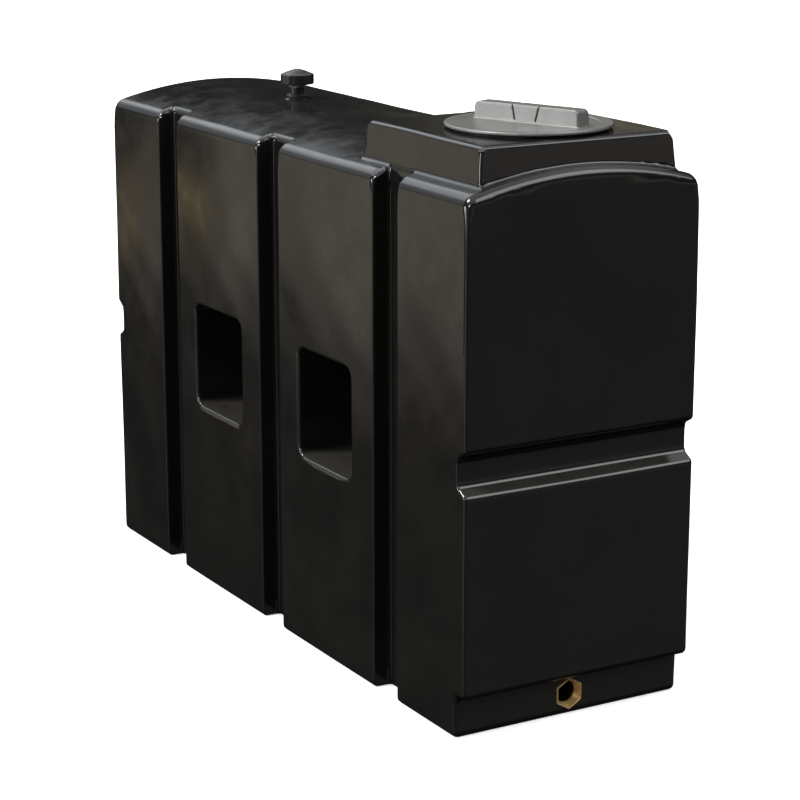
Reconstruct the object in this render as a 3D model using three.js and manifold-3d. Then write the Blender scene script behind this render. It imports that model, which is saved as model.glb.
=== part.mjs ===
// Fresh water tank: a slimline, one-piece moulded polyethylene tank with a barrel roof.
// A raised plinth carries a screw lid over the manway, a vent stands on the roof's crown,
// and a brass outlet insert sits in a recess along the foot of one end.
// Millimetres, +Z up, +X towards the outlet end, origin in the middle of the base.

import * as THREE from 'three';
import { mergeVertices } from 'three/addons/utils/BufferGeometryUtils.js';
import Module from 'manifold-3d';

const wasm = await Module();
wasm.setup();

// ---------------------------------------------------------------- driving dimensions

const LENGTH = 1630;
const WIDTH = 536;
const SHOULDER_Z = 1080;
const CROWN_Z = 1118;
const WALL = 6;
const EDGE_RADIUS = 14;
const GAP = 0.3; // clearance between pieces that touch

const GROOVE_CENTRES_X = [-505, 0, 505];
const GROOVE_WIDTH = 94;
const GROOVE_DEPTH = 40;

const TIE_CENTRES_X = [-252.5, 252.5];
const TIE_WIDTH = 230;
const TIE_LOW_Z = 424;
const TIE_HIGH_Z = 664;
const TIE_CORNER = 25;

const STRAP_LOW_Z = 503;
const STRAP_HIGH_Z = 590;
const STRAP_SLOPE = 15.5;
const STRAP_DEPTH = 28;

const RECESS_DEPTH = 35;
const RECESS_HEIGHT = 90;

const PLINTH_CENTRE_X = 567;
const PLINTH_LENGTH = 434;
const PLINTH_WIDTH = 440;
const PLINTH_CORNER = 7;
const PLINTH_TOP_Z = 1169;
const PLINTH_ROOT_Z = 1060;
const PLINTH_DRAFT = 0.08; // outward lean of the walls per unit of depth

const MANWAY_X = 606;
const MANWAY_RADIUS = 152.8;
const COLLAR_RADIUS = 158;
const COLLAR_TOP_Z = 1172.2;
const NECK_BORE = 147.5;
const NECK_FOOT_Z = 1136;
const LID_RADIUS = 166.5;
const LID_TOP_Z = 1180.6;
const LID_PLUG_RADIUS = 144.5;
const THREAD_PITCH = 9;
const THREAD_HEIGHT = 1.3;

const HANDLE_LENGTH = 250;
const HANDLE_WIDTH = 41;
const HANDLE_HEIGHT = 33;
const HANDLE_ANGLE = THREE.MathUtils.degToRad(21.5);
const HANDLE_OFFSET = 5; // from the lid's middle, along the handle
const HANDLE_SLIT = 2.4;
const SLIT_TOP_X = 32;
const SLIT_FOOT_X = 24;

const VENT_X = -367;
const VENT_PAD_RADIUS = 32;
const VENT_PAD_TOP_Z = 1120;
const VENT_PAD_FOOT_Z = 1109;
const VENT_STEM_RADIUS = 16;
const VENT_BORE = 10;
const VENT_CAP_RADIUS = 38.5;
const VENT_CAP_FOOT_Z = 1151;
const VENT_CAP_TOP_Z = 1185;

const OUTLET_Z = 45;
const OUTLET_ACROSS_FLATS = 59;
const OUTLET_BORE = 22.4;
const OUTLET_REACH = 4; // how far the hexagon stands out of the recess
const OUTLET_BODY = 18; // how deep the hexagon sits in the wall
const OUTLET_FOOT = 34; // how deep the whole insert sits in the wall
const OUTLET_SOCKET_FLATS = 51; // the insert's hexagonal mouth
const OUTLET_SOCKET_DEPTH = 20;

const CORNER_STEPS = 3;
const ROUND_STEPS = 48;
const SMALL_ROUND_STEPS = 32;

// ---------------------------------------------------------------- booleans

function toManifold(geometry) {
  const bare = geometry.clone();
  bare.deleteAttribute('normal');
  bare.deleteAttribute('uv');
  const merged = mergeVertices(bare, 1e-4);
  return new wasm.Manifold(new wasm.Mesh({
    numProp: 3,
    vertProperties: new Float32Array(merged.attributes.position.array),
    triVerts: new Uint32Array(merged.index.array),
  }));
}

function toGeometry(manifold) {
  const mesh = manifold.getMesh();
  const geometry = new THREE.BufferGeometry();
  geometry.setAttribute('position', new THREE.BufferAttribute(mesh.vertProperties, 3));
  geometry.setIndex(new THREE.BufferAttribute(mesh.triVerts, 1));
  geometry.computeVertexNormals();
  return geometry;
}

// ---------------------------------------------------------------- basic shapes

function roundedRectangle(lowX, highX, lowY, highY, radius) {
  const shape = new THREE.Shape();
  shape.moveTo(lowX + radius, lowY);
  shape.lineTo(highX - radius, lowY);
  shape.absarc(highX - radius, lowY + radius, radius, -Math.PI / 2, 0);
  shape.lineTo(highX, highY - radius);
  shape.absarc(highX - radius, highY - radius, radius, 0, Math.PI / 2);
  shape.lineTo(lowX + radius, highY);
  shape.absarc(lowX + radius, highY - radius, radius, Math.PI / 2, Math.PI);
  shape.lineTo(lowX, lowY + radius);
  shape.absarc(lowX + radius, lowY + radius, radius, Math.PI, 1.5 * Math.PI);
  return shape;
}

function polygon(points) {
  return new THREE.Shape(points.map(([x, y]) => new THREE.Vector2(x, y)));
}

function prism(shape, depth, steps = CORNER_STEPS) {
  return new THREE.ExtrudeGeometry(shape, { depth, bevelEnabled: false, curveSegments: steps });
}

// A shape drawn in (Y, Z) and extruded along X.
function prismAlongX(shape, lowX, highX, steps) {
  const turn = new THREE.Matrix4().makeBasis(
    new THREE.Vector3(0, 1, 0), new THREE.Vector3(0, 0, 1), new THREE.Vector3(1, 0, 0));
  return toManifold(prism(shape, highX - lowX, steps).applyMatrix4(turn).translate(lowX, 0, 0));
}

// A shape drawn in (X, Z) and extruded along Y.
function prismAlongY(shape, lowY, highY, steps) {
  const turn = new THREE.Matrix4().makeBasis(
    new THREE.Vector3(1, 0, 0), new THREE.Vector3(0, 0, 1), new THREE.Vector3(0, -1, 0));
  return toManifold(prism(shape, highY - lowY, steps).applyMatrix4(turn).translate(0, highY, 0));
}

// A shape drawn in (X, Y) and extruded along Z.
function prismAlongZ(shape, lowZ, highZ, steps) {
  return toManifold(prism(shape, highZ - lowZ, steps).translate(0, 0, lowZ));
}

function block(low, high) {
  const size = high.map((value, axis) => value - low[axis]);
  const middle = high.map((value, axis) => (value + low[axis]) / 2);
  return toManifold(new THREE.BoxGeometry(...size).translate(...middle));
}

function disc(radius, lowZ, highZ, x, y, steps = ROUND_STEPS) {
  const geometry = new THREE.CylinderGeometry(radius, radius, highZ - lowZ, steps);
  return toManifold(geometry.rotateX(Math.PI / 2).translate(x, y, (lowZ + highZ) / 2));
}

// A turned piece about a vertical axis; its outline of [radius, z] runs upwards on the outside.
function turned(outline, x, y, steps = ROUND_STEPS) {
  const points = outline.map(([radius, z]) => new THREE.Vector2(radius, z));
  const geometry = new THREE.LatheGeometry(points, steps);
  return toManifold(geometry.rotateX(Math.PI / 2).translate(x, y, 0));
}

function turnedRing(outline, x, y, steps) {
  return turned([...outline, outline[0]], x, y, steps);
}

// ---------------------------------------------------------------- tank shell

// Height of the barrel roof above the base, lowered by the inset.
function roofArc(inset) {
  const halfWidth = WIDTH / 2;
  const rise = CROWN_Z - SHOULDER_Z;
  const radius = (halfWidth ** 2 + rise ** 2) / (2 * rise);
  return { radius: radius - inset, centreZ: CROWN_Z - radius };
}

function barrelSection(inset) {
  const half = WIDTH / 2 - inset;
  const corner = EDGE_RADIUS - inset / 2;
  const { radius, centreZ } = roofArc(inset);
  const reach = half - corner / 2;
  const angle = Math.asin(reach / radius);
  const edgeZ = centreZ + Math.sqrt(radius ** 2 - reach ** 2);
  const shape = new THREE.Shape();
  shape.moveTo(-half + corner, inset);
  shape.lineTo(half - corner, inset);
  shape.absarc(half - corner, inset + corner, corner, -Math.PI / 2, 0);
  shape.lineTo(half, edgeZ - corner);
  shape.lineTo(reach, edgeZ);
  shape.absarc(0, centreZ, radius, Math.PI / 2 - angle, Math.PI / 2 + angle);
  shape.lineTo(-half, edgeZ - corner);
  shape.lineTo(-half, inset + corner);
  shape.absarc(-half + corner, inset + corner, corner, Math.PI, 1.5 * Math.PI);
  return shape;
}

function tankBlock(inset) {
  const halfLength = LENGTH / 2 - inset;
  const halfWidth = WIDTH / 2 - inset;
  const corner = EDGE_RADIUS - inset / 2;
  const plan = roundedRectangle(-halfLength, halfLength, -halfWidth, halfWidth, corner);
  const side = roundedRectangle(-halfLength, halfLength, inset, CROWN_Z - inset, corner);
  const barrel = prismAlongX(barrelSection(inset), -halfLength, halfLength, 2 * CORNER_STEPS);
  const upright = prismAlongZ(plan, 0, CROWN_Z);
  const sideways = prismAlongY(side, -halfWidth, halfWidth);
  return barrel.intersect(upright).intersect(sideways);
}

// Moves the foot of an upright prism outwards from its middle, so that its walls lean in with height.
function leanWalls(geometry, middleX, footZ, spread) {
  const position = geometry.attributes.position;
  for (let index = 0; index < position.count; index += 1) {
    if (position.getZ(index) < footZ + 1) {
      const x = position.getX(index);
      const y = position.getY(index);
      position.setXY(index, x + Math.sign(x - middleX) * spread, y + Math.sign(y) * spread);
    }
  }
  return geometry;
}

function plinth(inset) {
  const plan = roundedRectangle(
    PLINTH_CENTRE_X - PLINTH_LENGTH / 2 + inset, PLINTH_CENTRE_X + PLINTH_LENGTH / 2 - inset,
    -PLINTH_WIDTH / 2 + inset, PLINTH_WIDTH / 2 - inset, PLINTH_CORNER - inset / 2);
  const height = PLINTH_TOP_Z - inset - PLINTH_ROOT_Z;
  const upright = prism(plan, height).translate(0, 0, PLINTH_ROOT_Z);
  return toManifold(leanWalls(upright, PLINTH_CENTRE_X, PLINTH_ROOT_Z, height * PLINTH_DRAFT));
}

function sideGroove(x, side, inset) {
  const half = GROOVE_WIDTH / 2 + inset;
  const floorY = side * (WIDTH / 2 - GROOVE_DEPTH - inset);
  const outsideY = side * WIDTH;
  const low = [x - half, Math.min(floorY, outsideY), -WALL];
  const high = [x + half, Math.max(floorY, outsideY), 2 * CROWN_Z];
  return block(low, high);
}

function tieHole(x, inset) {
  const outline = roundedRectangle(
    x - TIE_WIDTH / 2 - inset, x + TIE_WIDTH / 2 + inset,
    TIE_LOW_Z - inset, TIE_HIGH_Z + inset, TIE_CORNER + inset);
  return prismAlongY(outline, -WIDTH, WIDTH);
}

function strapGroove(end, inset) {
  const mouthX = end * LENGTH;
  const faceX = end * (LENGTH / 2 - inset);
  const floorX = end * (LENGTH / 2 - STRAP_DEPTH - inset);
  const outline = [
    [mouthX, STRAP_LOW_Z - inset], [faceX, STRAP_LOW_Z - inset],
    [floorX, STRAP_LOW_Z + STRAP_SLOPE - inset], [floorX, STRAP_HIGH_Z - STRAP_SLOPE + inset],
    [faceX, STRAP_HIGH_Z + inset], [mouthX, STRAP_HIGH_Z + inset],
  ];
  return prismAlongY(polygon(outline), -WIDTH, WIDTH);
}

function outletRecess(inset) {
  const floorX = LENGTH / 2 - RECESS_DEPTH - inset;
  return block([floorX, -WIDTH, -WALL], [LENGTH, WIDTH, RECESS_HEIGHT + inset]);
}

// The tank's solid form, moved inwards by the inset.
function tankForm(inset) {
  let form = tankBlock(inset).add(plinth(inset));
  for (const x of GROOVE_CENTRES_X) {
    form = form.subtract(sideGroove(x, -1, inset)).subtract(sideGroove(x, 1, inset));
  }
  for (const x of TIE_CENTRES_X) {
    form = form.subtract(tieHole(x, inset));
  }
  for (const end of [-1, 1]) {
    form = form.subtract(strapGroove(end, inset));
  }
  return form.subtract(outletRecess(inset));
}

// Thick boss in the recess wall that grips the outlet insert.
function outletBoss() {
  const wallX = LENGTH / 2 - RECESS_DEPTH;
  const outline = new THREE.Shape().absarc(0, OUTLET_Z, 38, 0, 2 * Math.PI);
  return prismAlongX(outline, wallX - OUTLET_FOOT + 4, wallX, SMALL_ROUND_STEPS / 2);
}

function tankShell() {
  const pad = disc(VENT_PAD_RADIUS, VENT_PAD_FOOT_Z, VENT_PAD_TOP_Z, VENT_X, 0, SMALL_ROUND_STEPS);
  const ventHole = disc(VENT_STEM_RADIUS + GAP, 1000, 1200, VENT_X, 0, SMALL_ROUND_STEPS);
  const manway = disc(MANWAY_RADIUS, 1100, 1200, MANWAY_X, 0);
  return tankForm(0)
    .subtract(tankForm(WALL))
    .add(pad)
    .add(outletBoss())
    .subtract(ventHole)
    .subtract(manway)
    .subtract(outletInsert(GAP));
}

// ---------------------------------------------------------------- outlet insert

function hexagonPrism(acrossFlats, lowX, highX) {
  const radius = acrossFlats / Math.sqrt(3);
  const corners = [0, 1, 2, 3, 4, 5].map((step) => {
    const angle = Math.PI / 2 + step * Math.PI / 3;
    return [radius * Math.cos(angle), OUTLET_Z + radius * Math.sin(angle)];
  });
  return prismAlongX(polygon(corners), lowX, highX);
}

function barAlongX(radius, lowX, highX) {
  const outline = new THREE.Shape().absarc(0, OUTLET_Z, radius, 0, 2 * Math.PI);
  return prismAlongX(outline, lowX, highX, SMALL_ROUND_STEPS / 2);
}

// Brass body moulded into the wall: a hexagon that ends just proud of the recess, then a round neck
// with a locking flange inside.
// With a clearance it is the pocket that the plastic leaves around it.
function outletInsert(clearance) {
  const wallX = LENGTH / 2 - RECESS_DEPTH;
  const footX = wallX - OUTLET_FOOT;
  const faceX = wallX + OUTLET_REACH;
  const across = OUTLET_ACROSS_FLATS + 2 * clearance;
  const hexagon = hexagonPrism(across, wallX - OUTLET_BODY - clearance, faceX + clearance);
  const neck = barAlongX(26 + clearance, footX - clearance, wallX - OUTLET_BODY + 1);
  const flange = barAlongX(30 + clearance, wallX - 28 - clearance, wallX - 23 + clearance);
  return hexagon.add(neck).add(flange);
}

function outletInsertPiece() {
  const bore = barAlongX(OUTLET_BORE, 0, LENGTH);
  const faceX = LENGTH / 2 - RECESS_DEPTH + OUTLET_REACH;
  const mouth = hexagonPrism(OUTLET_SOCKET_FLATS, faceX - OUTLET_SOCKET_DEPTH, LENGTH);
  return outletInsert(0).subtract(bore).subtract(mouth);
}

// ---------------------------------------------------------------- manway neck, lid and seal

function neckRing() {
  const ridges = [];
  for (let z = COLLAR_TOP_Z - 8; z > NECK_FOOT_Z + 6; z -= THREAD_PITCH) {
    ridges.push([NECK_BORE, z + 2], [NECK_BORE - THREAD_HEIGHT, z + 0.8]);
    ridges.push([NECK_BORE - THREAD_HEIGHT, z - 0.8], [NECK_BORE, z - 2]);
  }
  const spigot = MANWAY_RADIUS - GAP;
  return turnedRing([
    [NECK_BORE, NECK_FOOT_Z], [spigot, NECK_FOOT_Z], [spigot, PLINTH_TOP_Z + GAP],
    [COLLAR_RADIUS, PLINTH_TOP_Z + GAP], [COLLAR_RADIUS, COLLAR_TOP_Z - 1.5],
    [COLLAR_RADIUS - 1.5, COLLAR_TOP_Z], [NECK_BORE + 1, COLLAR_TOP_Z], ...ridges,
  ], MANWAY_X, 0);
}

function lidSeal() {
  const low = COLLAR_TOP_Z + GAP;
  const high = low + 1.4;
  return turnedRing([
    [NECK_BORE + 1.5, low], [COLLAR_RADIUS - 2.5, low],
    [COLLAR_RADIUS - 2.5, high], [NECK_BORE + 1.5, high],
  ], MANWAY_X, 0);
}

function lidDisc() {
  const seat = COLLAR_TOP_Z + 1.4 + 2 * GAP;
  const foot = NECK_FOOT_Z + 10;
  const skin = 4;
  const ridges = [];
  for (let z = foot + 5; z < seat - 6; z += THREAD_PITCH) {
    ridges.push([LID_PLUG_RADIUS, z - 2], [LID_PLUG_RADIUS + THREAD_HEIGHT, z - 0.8]);
    ridges.push([LID_PLUG_RADIUS + THREAD_HEIGHT, z + 0.8], [LID_PLUG_RADIUS, z + 2]);
  }
  return turned([
    [0, LID_TOP_Z - skin - 1], [LID_PLUG_RADIUS - skin, LID_TOP_Z - skin - 1],
    [LID_PLUG_RADIUS - skin, foot], [LID_PLUG_RADIUS, foot], ...ridges,
    [LID_PLUG_RADIUS, seat], [LID_RADIUS - 3, seat], [LID_RADIUS, seat + 2.5],
    [LID_RADIUS, LID_TOP_Z - 3], [LID_RADIUS - 3, LID_TOP_Z], [0, LID_TOP_Z],
  ], MANWAY_X, 0);
}

// The straight grip across the lid, before it is turned; two slanting slits part off its middle.
function handleBar() {
  const half = HANDLE_LENGTH / 2;
  const top = LID_TOP_Z + HANDLE_HEIGHT;
  const side = new THREE.Shape();
  side.moveTo(-half, LID_TOP_Z - 2);
  side.lineTo(half, LID_TOP_Z - 2);
  side.lineTo(half - 2, top - 10);
  side.absarc(half - 12, top - 10, 10, 0, Math.PI / 2);
  side.lineTo(-half + 12, top);
  side.absarc(-half + 12, top - 10, 10, Math.PI / 2, Math.PI);
  const plan = roundedRectangle(-half, half, -HANDLE_WIDTH / 2, HANDLE_WIDTH / 2, 9);
  let bar = prismAlongY(side, -HANDLE_WIDTH / 2, HANDLE_WIDTH / 2)
    .intersect(prismAlongZ(plan, LID_TOP_Z - 3, top + 1));
  for (const way of [-1, 1]) {
    const footX = way * SLIT_FOOT_X;
    const topX = way * SLIT_TOP_X;
    const slit = polygon([
      [footX - HANDLE_SLIT / 2, LID_TOP_Z + 3], [footX + HANDLE_SLIT / 2, LID_TOP_Z + 3],
      [topX + HANDLE_SLIT / 2, top + 1], [topX - HANDLE_SLIT / 2, top + 1],
    ]);
    bar = bar.subtract(prismAlongY(slit, -HANDLE_WIDTH, HANDLE_WIDTH));
  }
  return bar.translate([HANDLE_OFFSET, 0, 0]);
}

function lid() {
  const turn = new THREE.Matrix4().makeRotationZ(HANDLE_ANGLE).setPosition(MANWAY_X, 0, 0);
  return lidDisc().add(toManifold(toGeometry(handleBar()).applyMatrix4(turn)));
}

// ---------------------------------------------------------------- vent

const VENT_SEAL_THICKNESS = 2;
const VENT_FLANGE_FOOT_Z = VENT_PAD_TOP_Z + VENT_SEAL_THICKNESS + 2 * GAP;
const VENT_STEM_TOP_Z = 1168;
const VENT_WINDOW_LOW_Z = 1146;
const VENT_WINDOW_HIGH_Z = 1156;
const VENT_SCREEN_RADIUS = VENT_STEM_RADIUS + 1;

function ventWasher(lowZ) {
  const inner = VENT_STEM_RADIUS + GAP + 0.2;
  const outer = VENT_STEM_RADIUS + 8;
  const highZ = lowZ + VENT_SEAL_THICKNESS;
  const outline = [[inner, lowZ], [outer, lowZ], [outer, highZ], [inner, highZ]];
  return turnedRing(outline, VENT_X, 0, SMALL_ROUND_STEPS);
}

function ventBody() {
  const footZ = VENT_PAD_FOOT_Z - 18;
  const stem = turnedRing([
    [VENT_BORE, footZ], [VENT_STEM_RADIUS, footZ], [VENT_STEM_RADIUS, VENT_FLANGE_FOOT_Z],
    [VENT_STEM_RADIUS + 9, VENT_FLANGE_FOOT_Z], [VENT_STEM_RADIUS + 9, VENT_FLANGE_FOOT_Z + 3],
    [VENT_STEM_RADIUS, VENT_FLANGE_FOOT_Z + 6], [VENT_STEM_RADIUS, VENT_STEM_TOP_Z],
    [VENT_BORE, VENT_STEM_TOP_Z],
  ], VENT_X, 0, SMALL_ROUND_STEPS);
  const reach = VENT_STEM_RADIUS + 2;
  const half = 4;
  const low = VENT_WINDOW_LOW_Z;
  const high = VENT_WINDOW_HIGH_Z;
  const alongX = block([VENT_X - reach, -half, low], [VENT_X + reach, half, high]);
  const alongY = block([VENT_X - half, -reach, low], [VENT_X + half, reach, high]);
  return stem.subtract(alongX).subtract(alongY);
}

function ventScreen() {
  const inner = VENT_SCREEN_RADIUS;
  const outer = inner + 0.9;
  const low = VENT_WINDOW_LOW_Z - 3;
  const high = VENT_WINDOW_HIGH_Z + 3;
  const outline = [[inner, low], [outer, low], [outer, high], [inner, high]];
  return turnedRing(outline, VENT_X, 0, SMALL_ROUND_STEPS);
}

function ventBackNut() {
  const high = VENT_PAD_FOOT_Z - VENT_SEAL_THICKNESS - 2 * GAP;
  const geometry = new THREE.CylinderGeometry(27, 27, 9, 6).rotateX(Math.PI / 2);
  const nut = toManifold(geometry.translate(VENT_X, 0, high - 4.5));
  return nut.subtract(disc(VENT_STEM_RADIUS + GAP, 1000, 1200, VENT_X, 0, SMALL_ROUND_STEPS));
}

// Mushroom cap: a low cone with an upright rim, and a threaded socket that takes the stem.
function ventCap() {
  const rim = VENT_CAP_RADIUS;
  const shoulder = VENT_CAP_TOP_Z - 12;
  const socket = VENT_STEM_RADIUS + GAP + 0.3;
  const roof = VENT_STEM_TOP_Z + GAP;
  const socketFoot = VENT_WINDOW_HIGH_Z + 3 + GAP;
  return turned([
    [0, roof], [socket, roof], [socket, socketFoot], [socket + 3, socketFoot], [socket + 3, roof + 1],
    [rim - 4, shoulder - 4], [rim - 3, VENT_CAP_FOOT_Z], [rim, VENT_CAP_FOOT_Z],
    [rim, shoulder - 1], [rim - 2, shoulder + 1], [rim * 0.5, VENT_CAP_TOP_Z - 4],
    [rim * 0.18, VENT_CAP_TOP_Z], [0, VENT_CAP_TOP_Z],
  ], VENT_X, 0, SMALL_ROUND_STEPS);
}

// ---------------------------------------------------------------- assembly

const polyethylene = { color: 0x1b1b1a, roughness: 0.35, metalness: 0 };
const mouldedPlastic = { color: 0x4a4a48, roughness: 0.3, metalness: 0 };
const rubber = { color: 0x141414, roughness: 0.8, metalness: 0 };
const brass = { color: 0xb08d4a, roughness: 0.3, metalness: 1 };
const steelMesh = { color: 0x9a9c9e, roughness: 0.4, metalness: 1 };

const tank = new THREE.Group();

function addPiece(name, manifold, finish) {
  const piece = new THREE.Mesh(toGeometry(manifold), new THREE.MeshStandardMaterial(finish));
  piece.name = name;
  tank.add(piece);
}

addPiece('tank_shell', tankShell(), polyethylene);
addPiece('outlet_insert', outletInsertPiece(), brass);
addPiece('neck_ring', neckRing(), mouldedPlastic);
addPiece('lid_seal', lidSeal(), rubber);
addPiece('lid', lid(), mouldedPlastic);
addPiece('vent_body', ventBody(), mouldedPlastic);
addPiece('vent_outer_washer', ventWasher(VENT_PAD_TOP_Z + GAP), rubber);
addPiece('vent_inner_washer', ventWasher(VENT_PAD_FOOT_Z - GAP - VENT_SEAL_THICKNESS), rubber);
addPiece('vent_back_nut', ventBackNut(), mouldedPlastic);
addPiece('vent_screen', ventScreen(), steelMesh);
addPiece('vent_cap', ventCap(), mouldedPlastic);

export default tank;
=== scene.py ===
"""Looks of a slimline moulded water tank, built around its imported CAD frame. Metres, +Z up."""

import math

import bmesh
import bpy
import numpy as np
from mathutils import Matrix, Vector


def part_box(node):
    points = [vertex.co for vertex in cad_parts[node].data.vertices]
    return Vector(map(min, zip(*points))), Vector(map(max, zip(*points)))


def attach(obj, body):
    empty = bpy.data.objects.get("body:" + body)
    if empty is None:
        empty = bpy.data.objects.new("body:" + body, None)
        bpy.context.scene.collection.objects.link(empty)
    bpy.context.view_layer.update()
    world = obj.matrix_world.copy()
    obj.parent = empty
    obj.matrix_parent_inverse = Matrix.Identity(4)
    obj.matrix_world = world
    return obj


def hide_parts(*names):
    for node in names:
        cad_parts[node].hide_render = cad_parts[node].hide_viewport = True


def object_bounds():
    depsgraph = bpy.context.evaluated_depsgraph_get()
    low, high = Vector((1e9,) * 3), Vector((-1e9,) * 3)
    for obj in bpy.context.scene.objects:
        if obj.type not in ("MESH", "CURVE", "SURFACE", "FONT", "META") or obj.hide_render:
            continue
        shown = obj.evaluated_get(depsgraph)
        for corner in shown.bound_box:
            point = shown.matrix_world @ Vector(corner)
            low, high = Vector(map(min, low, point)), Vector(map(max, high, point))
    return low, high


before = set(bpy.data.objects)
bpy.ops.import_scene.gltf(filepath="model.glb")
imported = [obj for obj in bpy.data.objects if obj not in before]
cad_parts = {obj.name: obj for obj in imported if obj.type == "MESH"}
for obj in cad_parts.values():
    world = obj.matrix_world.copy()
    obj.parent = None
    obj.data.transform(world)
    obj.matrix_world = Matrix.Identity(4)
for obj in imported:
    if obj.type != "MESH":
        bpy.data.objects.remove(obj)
cad_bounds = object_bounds()

MM = 0.001

# ---- sizes, from the frame

shell_low, shell_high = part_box("tank_shell")
lid_low, lid_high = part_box("lid")
ring_low, ring_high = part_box("neck_ring")
seal_low, seal_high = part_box("lid_seal")
cap_low, cap_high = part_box("vent_cap")
stem_low, stem_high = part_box("vent_body")
screen_low, screen_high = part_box("vent_screen")
nut_low, nut_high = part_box("vent_back_nut")
insert_low, insert_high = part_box("outlet_insert")

LENGTH = shell_high.x - shell_low.x
WIDTH = shell_high.y - shell_low.y
PLINTH_TOP = shell_high.z
MANWAY = (lid_low + lid_high) / 2
VENT = (cap_low + cap_high) / 2
OUTLET = (insert_low + insert_high) / 2
OUTLET_FLATS = (insert_high.z - insert_low.z) * math.sqrt(3) / 2
COLLAR = (ring_high.x - ring_low.x) / 2
LID_RADIUS = (lid_high.x - lid_low.x) / 2
CAP_RADIUS = (cap_high.x - cap_low.x) / 2

# ---- sizes that no box gives

GAP = 0.3 * MM

# The moulding's body: a barrel roof on upright sides.
SHOULDER = 1080 * MM
CROWN = 1118 * MM
WALL = 6 * MM
PANEL_BULGE = 2.2 * MM
END_BULGE = 1.2 * MM
SHOULDER_EDGE = 20 * MM
UPRIGHT_EDGE = 9 * MM
ARCH_EDGE = 21 * MM
BASE_EDGE = 11.7 * MM
EDGE_BLEND = 60 * MM

# The side grooves, the tie openings, the strap grooves and the recess below the outlet end.
GROOVE_CENTRES = (-505 * MM, 0.0, 505 * MM)
GROOVE_WIDTH = 94 * MM
GROOVE_DEPTH = 40 * MM
GROOVE_CORNER = 9 * MM
GROOVE_LIP = 3.5 * MM
GROOVE_TOP_LIP = 6.5 * MM
TIE_CENTRES = (-252.5 * MM, 252.5 * MM)
TIE_WIDTH = 230 * MM
TIE_LOW = 424 * MM
TIE_HIGH = 664 * MM
TIE_CORNER = 25 * MM
TIE_LIP = 5 * MM
STRAP_LOW = 503 * MM
STRAP_HIGH = 590 * MM
STRAP_SLOPE = 15.5 * MM
STRAP_DEPTH = 28 * MM
STRAP_CORNER = 6 * MM
STRAP_LIP = 6 * MM
RECESS_DEPTH = 35 * MM
RECESS_HEIGHT = 90 * MM
RECESS_CORNER = 9 * MM
RECESS_LIP = 11 * MM

# The plinth around the manway, and the pad below the vent.
PLINTH_CENTRE = 567 * MM
PLINTH_LENGTH = 434 * MM
PLINTH_WIDTH = 440 * MM
PLINTH_ROOT = 1060 * MM
PLINTH_DRAFT = 0.08
PLINTH_CORNER = 6 * MM
PLINTH_RIM = 5 * MM
PLINTH_FILLET = 7 * MM
VENT_PAD_RADIUS = 32 * MM
VENT_PAD_TOP = 1120 * MM
VENT_PAD_FOOT = 1109 * MM

# The manway's neck, the lid and its grip.
MANWAY_HOLE = 152.8 * MM
NECK_BORE = 147.5 * MM
LID_PLUG = 144.5 * MM
LID_PITCH = 9 * MM
LID_RIDGE = 1.3 * MM
LID_TOP = 1180.6 * MM
LID_PANEL = LID_TOP - 1.1 * MM
HANDLE_LENGTH = 250 * MM
HANDLE_WIDTH = 41 * MM
HANDLE_ANGLE = math.radians(21.5)
HANDLE_OFFSET = 5 * MM
SLIT = 2.6 * MM

# The vent's stem, and its thread.
VENT_STEM = 16 * MM
VENT_BORE = 10 * MM
VENT_PITCH = 3 * MM
VENT_RIDGE = 0.9 * MM

# The brass insert in the wall above the foot: shank, flange, hexagon, and a mouth that narrows to the bore.
OUTLET_WALL = LENGTH / 2 - RECESS_DEPTH
OUTLET_BODY = 18 * MM
OUTLET_SHANK = 26 * MM
OUTLET_FLANGE = 30 * MM
FLANGE_BACK = 10 * MM
FLANGE_FRONT = 5 * MM
OUTLET_BORE = 22.4 * MM
OUTLET_MOUTH = 53 * MM
OUTLET_MOUTH_DEPTH = 19 * MM
OUTLET_PITCH = 2.3 * MM
BOSS_RADIUS = 38 * MM
BOSS_DEPTH = 30 * MM

# The steps of the shell's mesh: how far a fine step reaches around a feature, and around a lip.
SHELL_SKIRT = 12 * MM
FEATURE_REACH = 20 * MM
LIP_REACH = 5 * MM
SNAP = 1e-9

# ---- light and view

# Where the surround brightens: heights are sines of elevation, glows are radiances.
DOME_RISE = (0.46, 0.82)
LOW_SKY = (0.018, 0.018, 0.017)
HIGH_SKY = (1.00, 1.02, 1.04)
SIDE_BOX = (1.6, 1.7, 1.8)
END_BOX = (3.9, 3.95, 4.0)
FLANK_SLANT = 0.007
FLANK_RISE = (-0.650, -0.632)
FLANK_GLOW = (0.68, 0.61, 0.50)
STREAK_GLOW = (3.60, 2.80, 1.45)
FRONT_GLOW = (1.3, 1.3, 1.28)
FOOT_GLOW = (0.50, 0.49, 0.46)
BACK_GLOW = (0.26, 0.24, 0.21)
END_GLOW = (0.13, 0.125, 0.12)
BAND_GLOW = (0.50, 0.52, 0.55)
TREE_GLOW = (0.19, 0.17, 0.125)

SUN_DISTANCE = 10.0

# The view in degrees and metres, its aim from the middle of the base, and the lens in millimetres.
VIEW_AZIMUTH = 59.861
VIEW_ELEVATION = 14.514
VIEW_DISTANCE = 5.489
VIEW_AIM = Vector((-0.0747, 0.1037, 0.4505))
LENS = 107.69
SENSOR = 36

# ---- distance fields


def round_meet(a, b, radius):
    """The space inside both a and b, with their shared edge rounded to a radius."""
    over_a = np.maximum(a + radius, 0)
    over_b = np.maximum(b + radius, 0)
    return np.minimum(-radius, np.maximum(a, b)) + np.sqrt(over_a ** 2 + over_b ** 2)


def round_join(a, b, radius):
    """The space inside a or b, with a fillet where they meet."""
    return -round_meet(-a, -b, radius)


def round_cut(a, b, radius):
    """The space inside a and outside b, with the lip rounded to a radius."""
    return round_meet(a, -b, radius)


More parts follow.
